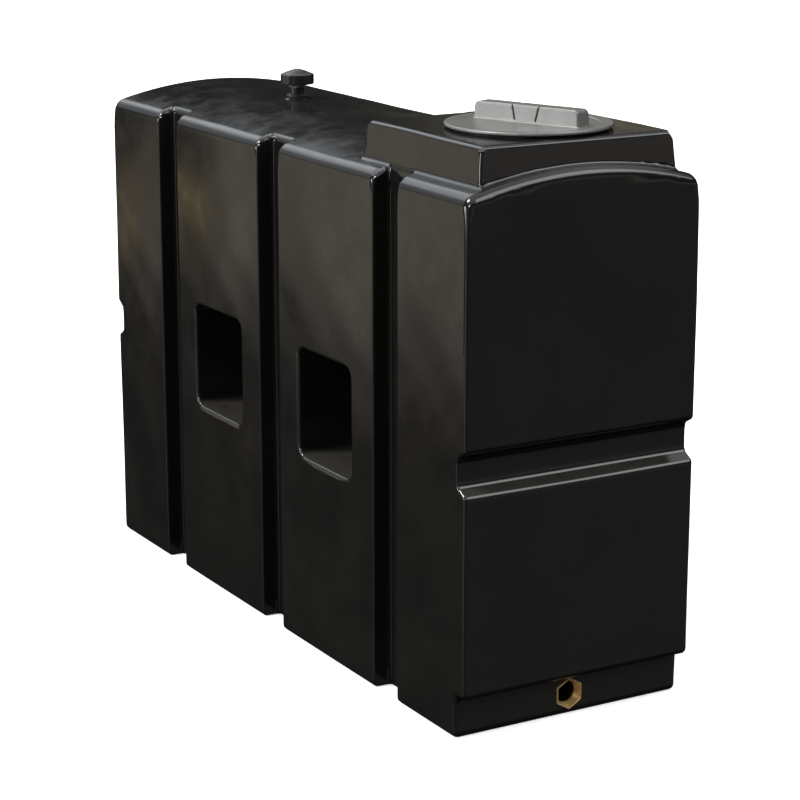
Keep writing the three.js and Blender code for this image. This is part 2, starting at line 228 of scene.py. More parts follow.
def ease(value, low, high):
    """0 below low, 1 above high, and a smooth rise between."""
    share = np.clip((value - low) / (high - low), 0, 1)
    return share * share * (3 - 2 * share)


def mould_warp(x, y, z):
    """How far the moulding's faces wander from true, from its cooling."""
    slow = np.sin(7.1 * x + 2.3 * z + 1.1) * np.sin(5.3 * z - 1.7 * x + 4.0 * y)
    long_waves = np.sin(17.0 * x + 3.0 * np.sin(4.1 * z)) * np.cos(6.7 * z + 9.0 * y + 0.6)
    short_waves = np.sin(31.0 * x + 2.0 * np.sin(9.0 * z) + 5.0 * y) * np.sin(23.0 * z + 11.0 * y + 0.3)
    return (0.7 * slow + 0.45 * long_waves + 0.16 * short_waves) * MM * ease(z, 0.01, 0.12)


def panel_bulge(x, z):
    """How far the long sides stand out between their grooves."""
    pitch = GROOVE_CENTRES[2]
    arch = np.cos(math.pi * (x / pitch - 0.5)) ** 2
    return PANEL_BULGE * arch * np.sin(math.pi * np.clip(z / SHOULDER, 0, 1)) ** 0.5


def barrel_field(x, y, z):
    """The body before anything is cut into it: its edges are tighter down the corners than over the arch."""
    rise = CROWN - SHOULDER
    half = WIDTH / 2
    radius = (half ** 2 + rise ** 2) / (2 * rise)
    roof = np.hypot(y, z - (CROWN - radius)) - radius
    side = np.abs(y) - half - panel_bulge(x, z)
    end = np.abs(x) - LENGTH / 2 - END_BULGE * np.cos(math.pi * y / WIDTH) * ease(z, 0.1, 0.3)
    end_edge = UPRIGHT_EDGE + (ARCH_EDGE - UPRIGHT_EDGE) * ease(z, SHOULDER - EDGE_BLEND, SHOULDER + 5 * MM)
    body = round_meet(side, roof, SHOULDER_EDGE)
    body = round_meet(body, end, end_edge)
    return round_meet(body, -z, BASE_EDGE)


def groove_field(x, y, centre):
    beside = np.abs(x - centre) - GROOVE_WIDTH / 2
    behind = WIDTH / 2 - GROOVE_DEPTH - np.abs(y)
    return round_meet(beside, behind, GROOVE_CORNER)


def tie_field(x, z, centre):
    across = np.abs(x - centre) - TIE_WIDTH / 2
    up = np.abs(z - (TIE_LOW + TIE_HIGH) / 2) - (TIE_HIGH - TIE_LOW) / 2
    return round_meet(across, up, TIE_CORNER)


def strap_field(x, z):
    """The groove across an end: a flat floor between two slopes."""
    slant = math.hypot(STRAP_DEPTH, STRAP_SLOPE)
    inward = (LENGTH / 2 - np.abs(x)) * STRAP_SLOPE
    upper = ((z - STRAP_HIGH) * STRAP_DEPTH + inward) / slant
    lower = ((STRAP_LOW - z) * STRAP_DEPTH + inward) / slant
    floor = LENGTH / 2 - STRAP_DEPTH - np.abs(x)
    return round_meet(round_meet(floor, upper, STRAP_CORNER), lower, STRAP_CORNER)


def recess_field(x, z):
    return round_meet(OUTLET_WALL - x, z - RECESS_HEIGHT, RECESS_CORNER)


def plinth_field(x, y, z):
    """The block around the manway, which widens towards its foot."""
    spread = (PLINTH_TOP - z) * PLINTH_DRAFT
    along = np.abs(x - PLINTH_CENTRE) - PLINTH_LENGTH / 2 - spread
    across = np.abs(y) - PLINTH_WIDTH / 2 - spread
    upright = round_meet(along, across, PLINTH_CORNER)
    block = round_meet(upright, z - PLINTH_TOP, PLINTH_RIM)
    return np.maximum(block, PLINTH_ROOT - z)


def vent_pad_field(x, y, z):
    from_axis = np.hypot(x - VENT.x, y)
    between = np.maximum(z - VENT_PAD_TOP, VENT_PAD_FOOT - z)
    return round_meet(from_axis - VENT_PAD_RADIUS, between, 1.5 * MM)


def tank_field(x, y, z):
    """Below zero inside the tank's outer form."""
    body = barrel_field(x, y, z)
    groove_lip = GROOVE_LIP + (GROOVE_TOP_LIP - GROOVE_LIP) * ease(z, SHOULDER - EDGE_BLEND, SHOULDER)
    for centre in GROOVE_CENTRES:
        body = round_cut(body, groove_field(x, y, centre), groove_lip)
    for centre in TIE_CENTRES:
        body = round_cut(body, tie_field(x, z, centre), TIE_LIP)
    body = round_cut(body, strap_field(x, z), STRAP_LIP)
    body = round_cut(body, recess_field(x, z), RECESS_LIP)
    body = round_join(body, plinth_field(x, y, z), PLINTH_FILLET)
    body = body + mould_warp(x, y, z)
    return round_join(body, vent_pad_field(x, y, z), 2 * MM)


def cavity_field(x, y, z):
    """Below zero inside the tank's hollow, which stays clear of the outlet's boss and the vent's pad."""
    hollow = tank_field(x, y, z) + WALL
    boss = np.maximum(np.hypot(y, z - OUTLET.z) - BOSS_RADIUS, OUTLET_WALL - BOSS_DEPTH - x)
    pad = np.maximum(np.hypot(x - VENT.x, y) - VENT_PAD_RADIUS, VENT_PAD_FOOT - z)
    return round_cut(round_cut(hollow, boss, 4 * MM), pad, 2 * MM)


# ---- meshes from fields


def planes(low, high, coarse, *zones):
    """Grid planes from low to high; a zone (places, reach, slack, fine) has finer steps near its places."""
    grid = [low]
    while grid[-1] < high:
        here, step = grid[-1], coarse
        for places, reach, slack, fine in zones:
            if any(abs(here - place) <= reach + slack for place in places):
                step = fine
            else:
                ahead = [place - reach - here for place in places if place - reach > here + SNAP]
                step = min([step, *(max(gap, fine) for gap in ahead)])
        grid.append(here + step)
    return np.array(grid)


def surface_net(field, axes):
    """Points and quads of the surface where the field is zero, with one point in each cell it crosses."""
    grid = np.meshgrid(*axes, indexing="ij")
    values = field(*grid)
    cells = tuple(len(axis) - 1 for axis in axes)
    total = np.zeros((3, *cells))
    count = np.zeros(cells)
    crossings = []
    for axis in range(3):
        first, second = (axis + 1) % 3, (axis + 2) % 3
        low = tuple(slice(None, -1) if k == axis else slice(None) for k in range(3))
        high = tuple(slice(1, None) if k == axis else slice(None) for k in range(3))
        inside = values[low] < 0
        hit = inside != (values[high] < 0)
        share = np.where(hit, values[low] / np.where(hit, values[low] - values[high], 1), 0)
        crossings.append((hit, inside))
        for one in (0, 1):
            for two in (0, 1):
                part = [slice(None)] * 3
                part[first] = slice(one, one + cells[first])
                part[second] = slice(two, two + cells[second])
                part = tuple(part)
                mask = hit[part]
                count += mask
                for k in range(3):
                    place = grid[k][low]
                    if k == axis:
                        place = place + share * (grid[k][high] - place)
                    total[k] += np.where(mask, place[part], 0)
    used = count > 0
    numbers = np.full(cells, -1)
    numbers[used] = np.arange(used.sum())
    points = np.stack([total[k][used] / count[used] for k in range(3)], axis=1)
    quads = []
    for axis, (hit, inside) in enumerate(crossings):
        first, second = (axis + 1) % 3, (axis + 2) % 3
        inner = [slice(None)] * 3
        inner[first] = slice(1, -1)
        inner[second] = slice(1, -1)
        inner = tuple(inner)
        where = np.argwhere(hit[inner])
        rising = inside[inner][hit[inner]]
        around = []
        for one, two in ((0, 0), (1, 0), (1, 1), (0, 1)):
            cell = where.copy()
            cell[:, first] += one
            cell[:, second] += two
            around.append(numbers[tuple(cell.T)])
        ring = np.stack(around, axis=1)
        quads.append(np.where(rising[:, None], ring, ring[:, ::-1]))
    return points, np.concatenate(quads)


def slope_of(field, points, reach=0.2 * MM):
    """The field's gradient at each point."""
    slope = np.empty_like(points)
    for axis in range(3):
        offset = np.zeros(3)
        offset[axis] = reach
        ahead = field(*(points + offset).T)
        behind = field(*(points - offset).T)
        slope[:, axis] = (ahead - behind) / (2 * reach)
    return slope


def settled(field, points, rounds=4, longest=4 * MM):
    """The points moved onto the surface where the field is zero."""
    for _ in range(rounds):
        slope = slope_of(field, points)
        steep = np.maximum((slope ** 2).sum(axis=1), 0.2)
        step = np.clip(field(*points.T) / steep, -longest, longest)
        points = points - slope * step[:, None]
    return points


def field_mesh(field, axes):
    """Points and quads of the field's surface."""
    points, quads = surface_net(field, axes)
    return settled(field, points), quads


def new_object(name, points, faces):
    """A mesh object in the scene."""
    mesh = bpy.data.meshes.new(name)
    mesh.from_pydata([tuple(p) for p in points], [], [tuple(f) for f in faces])
    mesh.update()
    piece = bpy.data.objects.new(name, mesh)
    bpy.context.scene.collection.objects.link(piece)
    return piece


def smooth(piece, angle=35):
    """Smooth shading, broken at edges sharper than the angle."""
    mesh = piece.data
    mesh.polygons.foreach_set("use_smooth", [True] * len(mesh.polygons))
    mesh.set_sharp_from_angle(angle=math.radians(angle))


def combined(piece, others, operation):
    """The piece joined with or cut by the others, which are used up."""
    for other in others:
        modifier = piece.modifiers.new("combine", "BOOLEAN")
        modifier.object = other
        modifier.operation = operation
        modifier.solver = "MANIFOLD"
    bpy.context.view_layer.update()
    shape = piece.evaluated_get(bpy.context.evaluated_depsgraph_get())
    result = bpy.data.meshes.new_from_object(shape)
    old = piece.data
    piece.modifiers.clear()
    piece.data = result
    bpy.data.meshes.remove(old)
    for other in others:
        bpy.data.objects.remove(other)
    return piece


def set_normals(piece, fields):
    """Shades each face with the slope of whichever field it lies on, and flat where it lies on none."""
    mesh = piece.data
    mesh.polygons.foreach_set("use_smooth", [True] * len(mesh.polygons))
    points = np.empty(len(mesh.vertices) * 3)
    mesh.vertices.foreach_get("co", points)
    points = points.reshape(-1, 3)
    nearest = np.full(len(points), np.inf)
    slopes = np.zeros_like(points)
    for field, sense in fields:
        away = np.abs(field(*points.T))
        closer = away < nearest
        slope = slope_of(field, points[closer]) * sense
        slopes[closer] = slope / np.maximum(np.linalg.norm(slope, axis=1, keepdims=True), 1e-9)
        nearest[closer] = away[closer]
    loop_vertex = np.empty(len(mesh.loops), np.int32)
    mesh.loops.foreach_get("vertex_index", loop_vertex)
    sizes = np.empty(len(mesh.polygons), np.int32)
    mesh.polygons.foreach_get("loop_total", sizes)
    flat = np.empty(len(mesh.polygons) * 3)
    mesh.polygons.foreach_get("normal", flat)
    flat = np.repeat(flat.reshape(-1, 3), sizes, axis=0)
    curved = slopes[loop_vertex]
    on_field = (nearest[loop_vertex] < 0.3 * MM) & ((curved * flat).sum(axis=1) > 0.6)
    mesh.normals_split_custom_set(np.where(on_field[:, None], curved, flat))


# ---- turned pieces


def filleted(corners, arc_steps=5):
    """An outline through (radius, z, fillet) corners, each rounded by its fillet."""
    outline = []
    total = len(corners)
    for index, (radius, z, fillet) in enumerate(corners):
        here = Vector((radius, z))
        if fillet == 0:
            outline.append(here)
            continue
        before = (Vector(corners[index - 1][:2]) - here).normalized()
        after = (Vector(corners[(index + 1) % total][:2]) - here).normalized()
        half = before.angle(after) / 2
        back = fillet / math.tan(half)
        middle = here + (before + after).normalized() * (fillet / math.sin(half))
        start = here + before * back - middle
        sweep = start.angle_signed(here + after * back - middle)
        for step in range(arc_steps + 1):
            turn = Matrix.Rotation(-sweep * step / arc_steps, 2)
            outline.append(middle + turn @ start)
    return outline


def divided(outline, low, high, step):
    """The outline with extra points on its upright stretches between low and high."""
    result = []
    for here, ahead in zip(outline, outline[1:] + outline[:1]):
        result.append(here)
        upright = abs(here.x - ahead.x) < 0.1 * MM
        inside = min(here.y, ahead.y) < high and max(here.y, ahead.y) > low
        if upright and inside:
            parts = max(1, round(abs(ahead.y - here.y) / step))
            result.extend(here.lerp(ahead, part / parts) for part in range(1, parts))
    return result


def turned(name, outline, centre, steps=96, swell=None, axis="Z"):
    """A closed ring turned about an axis; swell(radius, along, angle) adds to the radius."""
    angles = np.arange(steps) * 2 * math.pi / steps
    radius = np.array([point.x for point in outline])[:, None] + 0 * angles
    along = np.array([point.y for point in outline])[:, None] + 0 * angles
    if swell:
        radius = radius + swell(radius, along, angles[None, :])
    across = radius * np.cos(angles)
    up = radius * np.sin(angles)
    if axis == "Z":
        points = np.stack([centre.x + across, centre.y + up, along], axis=2)
    else:
        points = np.stack([along, centre.y + across, centre.z + up], axis=2)
    count = len(outline)
    faces = []
    for row in range(count):
        following = (row + 1) % count
        for step in range(steps):
            beyond = (step + 1) % steps
            faces.append((row * steps + step, row * steps + beyond,
                          following * steps + beyond, following * steps + step))
    piece = new_object(name, points.reshape(-1, 3), faces)
    close_axis(piece)
    return piece


def close_axis(piece):
    """Merges the points that fall together on the axis, and turns the faces outwards."""
    shape = bmesh.new()
    shape.from_mesh(piece.data)
    bmesh.ops.remove_doubles(shape, verts=shape.verts, dist=1e-6)
    bmesh.ops.dissolve_degenerate(shape, edges=shape.edges, dist=1e-7)
    bmesh.ops.recalc_face_normals(shape, faces=shape.faces)
    shape.to_mesh(piece.data)
    shape.free()


def flat_ring(node, inner, lip):
    """The outline of a washer in a node's box, with its edges rounded."""
    low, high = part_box(node)
    outer = (high.x - low.x) / 2
    return filleted([(inner, low.z, lip), (outer, low.z, lip), (outer, high.z, lip),
                     (inner, high.z, lip)], 4)


def blunt_ridge(share):
    return ease(share, 0.22, 0.34)


def sharp_ridge(share):
    return 2 * share


def thread(wall, low, high, height, pitch, profile=blunt_ridge):
    """A helical ridge on the wall of that radius; a negative height points inwards."""
    def swell(radius, along, angle):
        phase = (along / pitch - angle / (2 * math.pi)) % 1
        ridge = profile(0.5 - np.abs(phase - 0.5))
        run_out = ease(along, low, low + 0.4 * pitch) * (1 - ease(along, high - 0.4 * pitch, high))
        return np.where(np.abs(radius - wall) < 0.05 * MM, height * ridge * run_out, 0)
    return swell


def off_flat(angle):
    """How far an angle is from the middle of the nearest side of a hexagon."""
    return (angle + math.pi / 6) % (math.pi / 3) - math.pi / 6


def hexagon_limit(across_flats):
    """Trims a turned outline to a hexagon whose corners are slightly blunted."""
    def swell(radius, along, angle):
        corner = across_flats / math.sqrt(3) - 0.5 * MM
        limit = np.minimum(across_flats / 2 / np.cos(off_flat(angle)), corner)
        return np.minimum(radius, limit) - radius
    return swell


# ---- tank shell


def shell_planes(fine, coarse, finest=None):
    """Grid planes for the shell along X, Y and Z, with the finest steps at the lips if one is given."""
    groove_sides = [c + s * GROOVE_WIDTH / 2 for c in GROOVE_CENTRES for s in (-1, 1)]
    tie_sides = [c + s * TIE_WIDTH / 2 for c in TIE_CENTRES for s in (-1, 1)]
    plinth_ends = [PLINTH_CENTRE + s * PLINTH_LENGTH / 2 for s in (-1, 1)]
    ends = [s * (LENGTH / 2 - inset) for s in (-1, 1) for inset in (0, STRAP_DEPTH)]
    vent_sides = [VENT.x + s * VENT_PAD_RADIUS for s in (-1, 1)]
    sides = [s * (WIDTH / 2 - inset) for s in (-1, 1) for inset in (0, GROOVE_DEPTH)]
    bands = [TIE_LOW, TIE_HIGH, STRAP_LOW, STRAP_HIGH]
    along = groove_sides + tie_sides + plinth_ends + ends + vent_sides
    across = sides + [-VENT_PAD_RADIUS, VENT_PAD_RADIUS]
    up = bands + [0, RECESS_HEIGHT, SHOULDER, CROWN, PLINTH_TOP]

    def axis(low, high, features, lips):
        zones = [(features, FEATURE_REACH, 0, fine)]
        if finest:
            zones.append((lips, LIP_REACH, SNAP, finest))
        return planes(low - SHELL_SKIRT, high + SHELL_SKIRT, coarse, *zones)

    return (axis(-LENGTH / 2, LENGTH / 2, along, groove_sides + tie_sides),
            axis(-WIDTH / 2, WIDTH / 2, across, [-WIDTH / 2, WIDTH / 2]),
            axis(0, PLINTH_TOP, up, bands))


def bar_outline(radius, low, high):
    """The outline of a plain round bar."""
    return [Vector((0, low)), Vector((radius, low)), Vector((radius, high)), Vector((0, high))]


def shell_cutters():
    """The manway, the vent's hole and the pocket of the outlet insert."""
    past = 50 * MM
    manway_bar = bar_outline(MANWAY_HOLE, ring_low.z - 30 * MM, PLINTH_TOP + 2 * past)
    manway = turned("cut_manway", manway_bar, MANWAY, 144)
    hole = turned("cut_vent", bar_outline(VENT_STEM + GAP, CROWN - 80 * MM, CROWN + 80 * MM), VENT, 64)
    across = OUTLET_FLATS + 2 * GAP
    corner = across / math.sqrt(3)
    body = OUTLET_WALL - OUTLET_BODY
    start, finish = insert_low.x - GAP, LENGTH / 2 + past
    back, front = body - FLANGE_BACK - GAP, body - FLANGE_FRONT + GAP
    shank, flange = OUTLET_SHANK + GAP, OUTLET_FLANGE + GAP
    pocket_outline = [
        (0, start), (shank, start), (shank, back), (flange, back), (flange, front), (shank, front),
        (shank, body - GAP), (corner, body - GAP), (corner, finish), (0, finish)]
    trim = hexagon_limit(across)

    def only_outside(radius, along, angle):
        return np.where(along > body - 2 * MM, trim(radius, along, angle), 0)

    pocket = turned("cut_pocket", [Vector(p) for p in pocket_outline], OUTLET, 96, only_outside, "X")
    return [manway, hole, pocket]


def make_shell():
    outer_points, outer_quads = field_mesh(tank_field, shell_planes(6 * MM, 30 * MM, 2.2 * MM))
    inner_points, inner_quads = field_mesh(cavity_field, shell_planes(10 * MM, 45 * MM))
    points = np.concatenate([outer_points, inner_points])
    quads = np.concatenate([outer_quads, inner_quads[:, ::-1] + len(outer_points)])
    shell = new_object("shell", points, quads)
    combined(shell, shell_cutters(), "DIFFERENCE")
    set_normals(shell, [(tank_field, 1), (cavity_field, -1)])
    return shell


# ---- manway neck, lid and seal


def make_neck_ring():
    """The threaded spigot in the manway, with the collar that the lid's seal sits on."""
    low, high = ring_low.z, ring_high.z
    foot = PLINTH_TOP + GAP
    outline = filleted([
        (NECK_BORE, low, 1 * MM), (MANWAY_HOLE - GAP, low, 1 * MM), (MANWAY_HOLE - GAP, foot, 0),
        (COLLAR, foot, 0.8 * MM), (COLLAR, high, 2 * MM), (NECK_BORE, high, 1.5 * MM)])
    outline = divided(outline, low, high, 1.1 * MM)
    swell = thread(NECK_BORE, low + 3 * MM, high - 4 * MM, -LID_RIDGE, LID_PITCH)
    return turned("neck_collar", outline, MANWAY, 144, swell)


def make_seal():
    outline = flat_ring("lid_seal", NECK_BORE + 1.5 * MM, 0.5 * MM)
    return turned("lid_gasket_ring", outline, MANWAY, 144)


def handle_field(x, y, z):
    """The grip across the lid in its own frame, with slits and a fillet down to the lid's panel."""
    top = lid_high.z
    lean = (z - LID_PANEL) * 0.06
    long = np.abs(x) - HANDLE_LENGTH / 2 + lean
    wide = np.abs(y) - HANDLE_WIDTH / 2 + lean * 0.7
    bar = round_meet(long, z - top, 9 * MM)
    bar = round_meet(bar, wide, 3.2 * MM)
    slant = 32 * MM - (top - z) * 0.25
    slit = np.maximum(np.abs(np.abs(x) - slant) - SLIT / 2, LID_PANEL + 4 * MM - z)
    bar = round_cut(bar, slit, 1.2 * MM)
    skirt = round_join(bar, z - (LID_PANEL - 0.15 * MM), 4 * MM)
    reach = np.maximum(long, wide) - 5 * MM
    return np.maximum(np.maximum(skirt, reach), LID_PANEL - 2 * MM - z)


def make_handle():
    top = lid_high.z
    half = HANDLE_LENGTH / 2
    wide = HANDLE_WIDTH / 2
    slits = 28 * MM
    around = 8 * MM
    fine = 1.0 * MM
    along = planes(-half - around, half + around, 4 * MM, ([-half, -slits, slits, half], 9 * MM, 0, fine))
    across = planes(-wide - around, wide + around, 4 * MM, ([-wide, wide], 8 * MM, 0, fine))
    up = planes(LID_PANEL - 4 * MM, top + 3 * MM, 3 * MM, ([LID_PANEL, top], 8 * MM, 0, fine))
    points, quads = field_mesh(handle_field, (along, across, up))
    cos, sin = math.cos(HANDLE_ANGLE), math.sin(HANDLE_ANGLE)
    along_lid = points[:, 0] + HANDLE_OFFSET
    x = MANWAY.x + along_lid * cos - points[:, 1] * sin
    y = MANWAY.y + along_lid * sin + points[:, 1] * cos
    return new_object("handle", np.stack([x, y, points[:, 2]], axis=1), quads)


def make_lid():
    """The lid: a threaded plug below a broad rim, with a sunk panel that carries the grip."""
    seat = seal_high.z + GAP
    foot = lid_low.z
    skin = 4 * MM
    step = 139 * MM
    outline = filleted([
        (0, LID_TOP - skin - 1 * MM, 0), (LID_PLUG - skin, LID_TOP - skin - 1 * MM, 3 * MM),
        (LID_PLUG - skin, foot, 1 * MM), (LID_PLUG, foot, 1 * MM), (LID_PLUG, seat, 0.8 * MM),
        (LID_RADIUS, seat, 1.6 * MM), (LID_RADIUS, LID_TOP, 3 * MM), (step + 2 * MM, LID_TOP, 1.2 * MM),
        (step, LID_PANEL, 1.2 * MM), (0, LID_PANEL, 0)])
    outline = divided(outline, foot, seat, 1.1 * MM)
    swell = thread(LID_PLUG, foot + 2 * MM, seat - 3 * MM, LID_RIDGE, LID_PITCH)
    lid = turned("screw_lid", outline, MANWAY, 192, swell)
    return combined(lid, [make_handle()], "UNION")


# ---- vent


def make_vent_body():
    """The vent's stem, threaded below the roof, with a flange on the pad and four windows above it."""
    low, high = stem_low.z, stem_high.z
    flange = VENT_PAD_TOP + 2.6 * MM
    rim = VENT_STEM + 9 * MM
    outline = filleted([
        (VENT_BORE, low, 0.8 * MM), (VENT_STEM, low, 1 * MM), (VENT_STEM, flange, 0),
        (rim, flange, 0.8 * MM), (rim, flange + 3 * MM, 1.2 * MM),
        (VENT_STEM, flange + 6 * MM, 1.5 * MM), (VENT_STEM, high, 1 * MM), (VENT_BORE, high, 0.8 * MM)])
    outline = divided(outline, low, flange, 0.6 * MM)
    swell = thread(VENT_STEM, low + 1 * MM, VENT_PAD_FOOT, -VENT_RIDGE, VENT_PITCH)
    body = turned("vent_stem", outline, VENT, 72, swell)
    window_low, window_high = screen_low.z + 3 * MM, screen_high.z - 3 * MM
    cutters = []
    long, short = VENT_STEM + 4 * MM, 4 * MM
    for across, along in ((long, short), (short, long)):
        corners = [(x, y, z) for x in (-across, across) for y in (-along, along)
                   for z in (window_low, window_high)]
        corners = [(VENT.x + x, VENT.y + y, z) for x, y, z in corners]
        faces = [(0, 1, 3, 2), (4, 6, 7, 5), (0, 4, 5, 1), (2, 3, 7, 6), (0, 2, 6, 4), (1, 5, 7, 3)]
        cutters.append(new_object("cut_window", corners, faces))
    return combined(body, cutters, "DIFFERENCE")


def make_washer(name, node):
    return turned(name, flat_ring(node, VENT_STEM + 0.5 * MM, 0.6 * MM), VENT, 72)


def make_back_nut():
    low, high = nut_low.z, nut_high.z
    across = 46.5 * MM
    corner = across / math.sqrt(3)
    inner = VENT_STEM + GAP
    outline = [Vector(p) for p in (
        (inner, low + 1 * MM), (inner + 1 * MM, low), (across / 2 - 0.5 * MM, low),
        (corner, low + 2 * MM), (corner, high - 2 * MM), (across / 2 - 0.5 * MM, high),
        (inner + 1 * MM, high), (inner, high - 1 * MM))]
    return turned("vent_nut", outline, VENT, 72, hexagon_limit(across))


def cap_flutes(radius, along, angle):
    """Shallow finger flutes around the cap's upright rim."""
    on_rim = ease(radius, CAP_RADIUS - 2.5 * MM, CAP_RADIUS - 0.5 * MM)
    below = 1 - ease(along, cap_high.z - 14 * MM, cap_high.z - 11 * MM)
    return -0.9 * MM * on_rim * below * (0.5 - 0.5 * np.cos(12 * angle)) ** 2


def make_cap():
    """The mushroom cap: a socket on the stem, and a fluted rim that hangs around the windows."""
    low, high = cap_low.z, cap_high.z
    shoulder = high - 12 * MM
    socket = VENT_STEM + 0.6 * MM
    roof = stem_high.z + GAP
    foot = screen_high.z + GAP
    outline = filleted([
        (0, roof, 0), (socket, roof, 0.6 * MM), (socket, foot, 0.6 * MM), (socket + 3 * MM, foot, 0.8 * MM),
        (socket + 3 * MM, roof + 1 * MM, 1.2 * MM), (CAP_RADIUS - 4 * MM, shoulder - 4 * MM, 2 * MM),
        (CAP_RADIUS - 3 * MM, low, 0.8 * MM), (CAP_RADIUS, low, 1.2 * MM), (CAP_RADIUS, shoulder, 2.5 * MM),
        (CAP_RADIUS * 0.5, high - 4 * MM, 3 * MM), (CAP_RADIUS * 0.18, high, 1.5 * MM), (0, high, 0)], 6)
    outline = divided(outline, low, shoulder, 3 * MM)
    return turned("vent_hat", outline, VENT, 144, cap_flutes)


def tube(path, radius, closed, sides=6):
    """Points and faces of a wire along a path."""
    path = np.asarray(path)
    count = len(path)
    ahead = np.roll(path, -1, axis=0) - np.roll(path, 1, axis=0)
    if not closed:
        ahead[0], ahead[-1] = path[1] - path[0], path[-1] - path[-2]
    ahead = ahead / np.linalg.norm(ahead, axis=1, keepdims=True)
    outwards = path - np.array([VENT.x, VENT.y, 0])
    outwards[:, 2] = 0
    outwards = outwards - ahead * (outwards * ahead).sum(axis=1, keepdims=True)
    outwards = outwards / np.linalg.norm(outwards, axis=1, keepdims=True)
    aside = np.cross(ahead, outwards)
    angles = np.arange(sides) * 2 * math.pi / sides
    points = (path[:, None] + radius * (np.cos(angles)[None, :, None] * outwards[:, None]
                                        + np.sin(angles)[None, :, None] * aside[:, None]))
    faces = []
    for row in range(count if closed else count - 1):
        following = (row + 1) % count
        for side in range(sides):
            beyond = (side + 1) % sides
            faces.append((row * sides + side, row * sides + beyond,
                          following * sides + beyond, following * sides + side))
    if not closed:
        faces.append(tuple(range(sides))[::-1])
        faces.append(tuple((count - 1) * sides + side for side in range(sides)))
    return points.reshape(-1, 3), faces


def make_screen():
    """A sleeve of woven wire around the stem's windows."""
    low, high = screen_low.z, screen_high.z
    middle = (screen_high.x - screen_low.x) / 2 - 0.5 * MM
    wire = 0.24 * MM
    uprights, hoops = 48, 7
    points, faces = [], []

    def add(path, closed):
        start = len(points)
        some, more = tube(path, wire, closed)
        points.extend(some)
        faces.extend(tuple(start + k for k in face) for face in more)

    for number in range(uprights):
        angle = 2 * math.pi * number / uprights
        path = []
        for row in range(2 * hoops + 1):
            out = middle + wire * 0.8 * math.cos(math.pi * (row / 2 + number))
            path.append((VENT.x + out * math.cos(angle), VENT.y + out * math.sin(angle),
                         low + wire + (high - low - 2 * wire) * row / (2 * hoops)))
        add(path, False)
    for row in range(hoops):
        path = []
        for number in range(2 * uprights):
            angle = math.pi * number / uprights
            out = middle - wire * 0.8 * math.cos(math.pi * (number / 2 + row))
            path.append((VENT.x + out * math.cos(angle), VENT.y + out * math.sin(angle),
                         low + wire + (high - low - 2 * wire) * (row + 0.5) / hoops))
        add(path, True)
    return new_object("screen_wires", points, faces)


# ---- outlet


def make_insert():
    """The brass body: a hexagon outside, and a hexagonal mouth that narrows to a threaded bore."""
    low, high = insert_low.x, insert_high.x
    corner = OUTLET_FLATS / math.sqrt(3)
    mouth = OUTLET_MOUTH / math.sqrt(3)
    step = high - OUTLET_MOUTH_DEPTH
    body = OUTLET_WALL - OUTLET_BODY
    back, front = body - FLANGE_BACK, body - FLANGE_FRONT
    outline = [Vector(p) for p in (
        (OUTLET_BORE, low), (OUTLET_SHANK, low), (OUTLET_SHANK, back), (OUTLET_FLANGE, back),
        (OUTLET_FLANGE, front), (OUTLET_SHANK, front), (OUTLET_SHANK, body), (corner, body),
        (corner, high - 1.2 * MM), (corner - 0.4 * MM, high - 0.4 * MM), (corner - 1.2 * MM, high),
        (mouth + 1 * MM, high), (mouth + 0.3 * MM, high - 0.4 * MM), (mouth, high - 1.2 * MM))]
    rim, bore, steps = outline[-1], Vector((OUTLET_BORE, step)), 8
    outline += [rim.lerp(bore, part / steps) for part in range(1, steps + 1)]
    outline = divided(outline, low, step - 1 * MM, 0.4 * MM)
    ridges = thread(OUTLET_BORE, low + 1 * MM, step - 2 * MM, -0.9 * MM, OUTLET_PITCH, sharp_ridge)

    def swell(radius, along, angle):
        flat = radius * math.cos(math.pi / 6) / np.cos(off_flat(angle))
        blunted = np.minimum(flat, radius - 0.4 * MM)
        outside = radius > mouth + 0.5 * MM
        share = np.where(outside, along > body - 0.1 * MM, (along - step) / (high - step))
        return (blunted - radius) * np.clip(share, 0, 1) + ridges(radius, along, angle)

    return turned("outlet_brass", outline, OUTLET, 96, swell, "X")


# ---- materials


